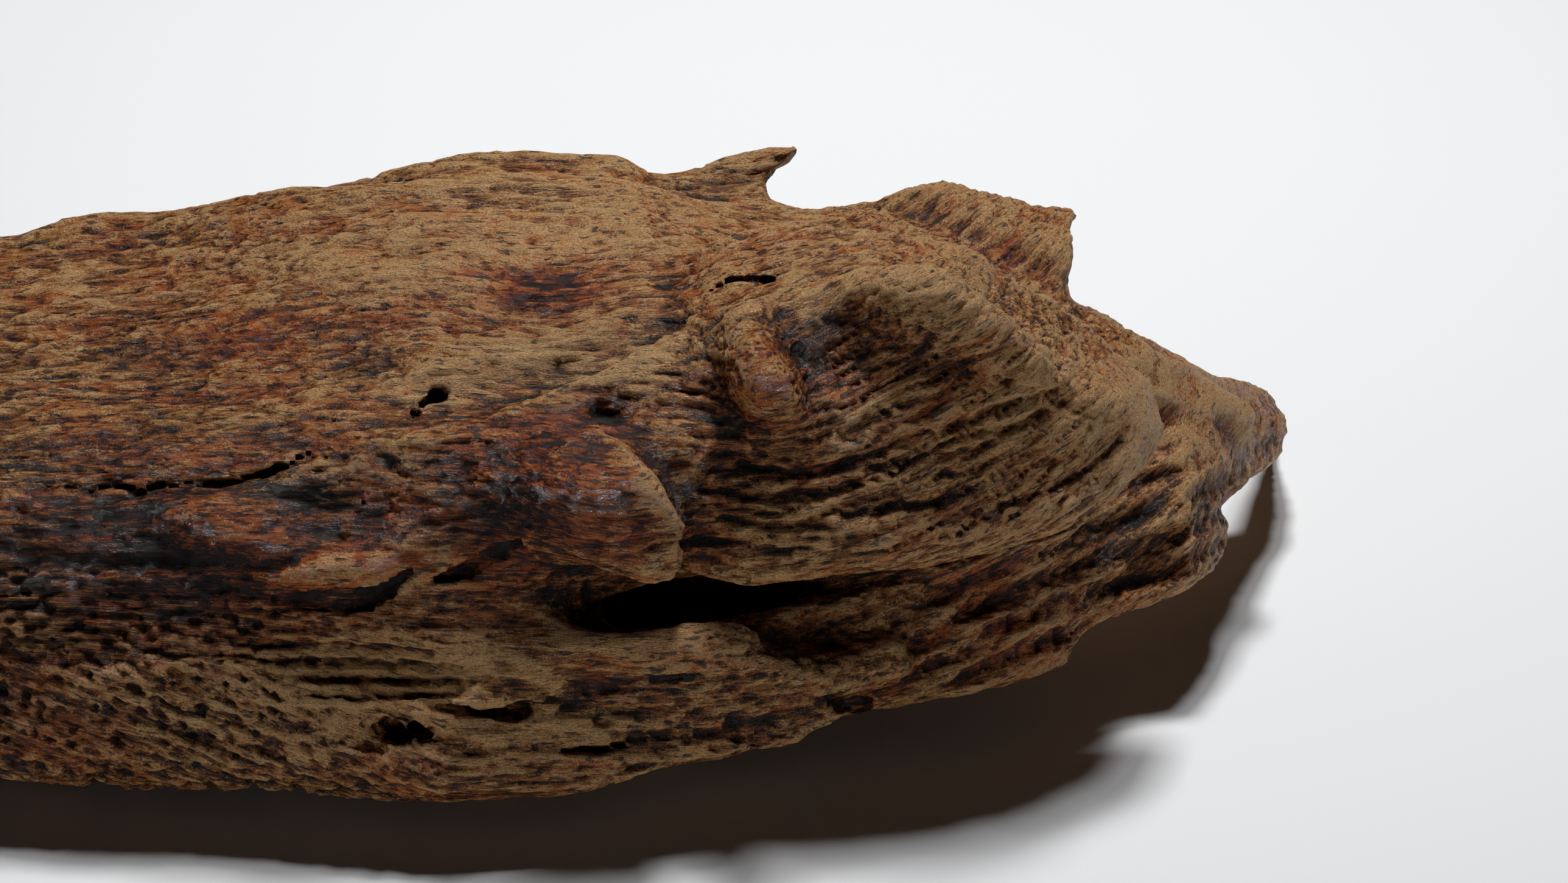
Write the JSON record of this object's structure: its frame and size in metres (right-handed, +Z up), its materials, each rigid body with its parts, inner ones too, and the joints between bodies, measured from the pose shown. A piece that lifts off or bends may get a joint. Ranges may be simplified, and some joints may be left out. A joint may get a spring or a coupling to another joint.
{
  "type": "piece of agarwood",
  "caption": "Weathered chunk of resinous agarwood: long furrowed trunk with a swollen knot, a ragged blade at one end and a broken spurred end.",
  "frame": {"origin": "centre of the bounding box seen from above, at the surface the piece lies on", "axes": "+X along the grain towards the knot and the ragged blade, +Y to the rear, +Z up"},
  "size_m": [0.1474, 0.0674, 0.044],
  "materials": {
    "resinous_wood": "weathered reddish brown wood, lightly glossy with resin, tan and near-black flecks along the grain"
  },
  "bodies": {
    "root": {"agarwood": "resinous_wood"}
  },
  "joints": []
}
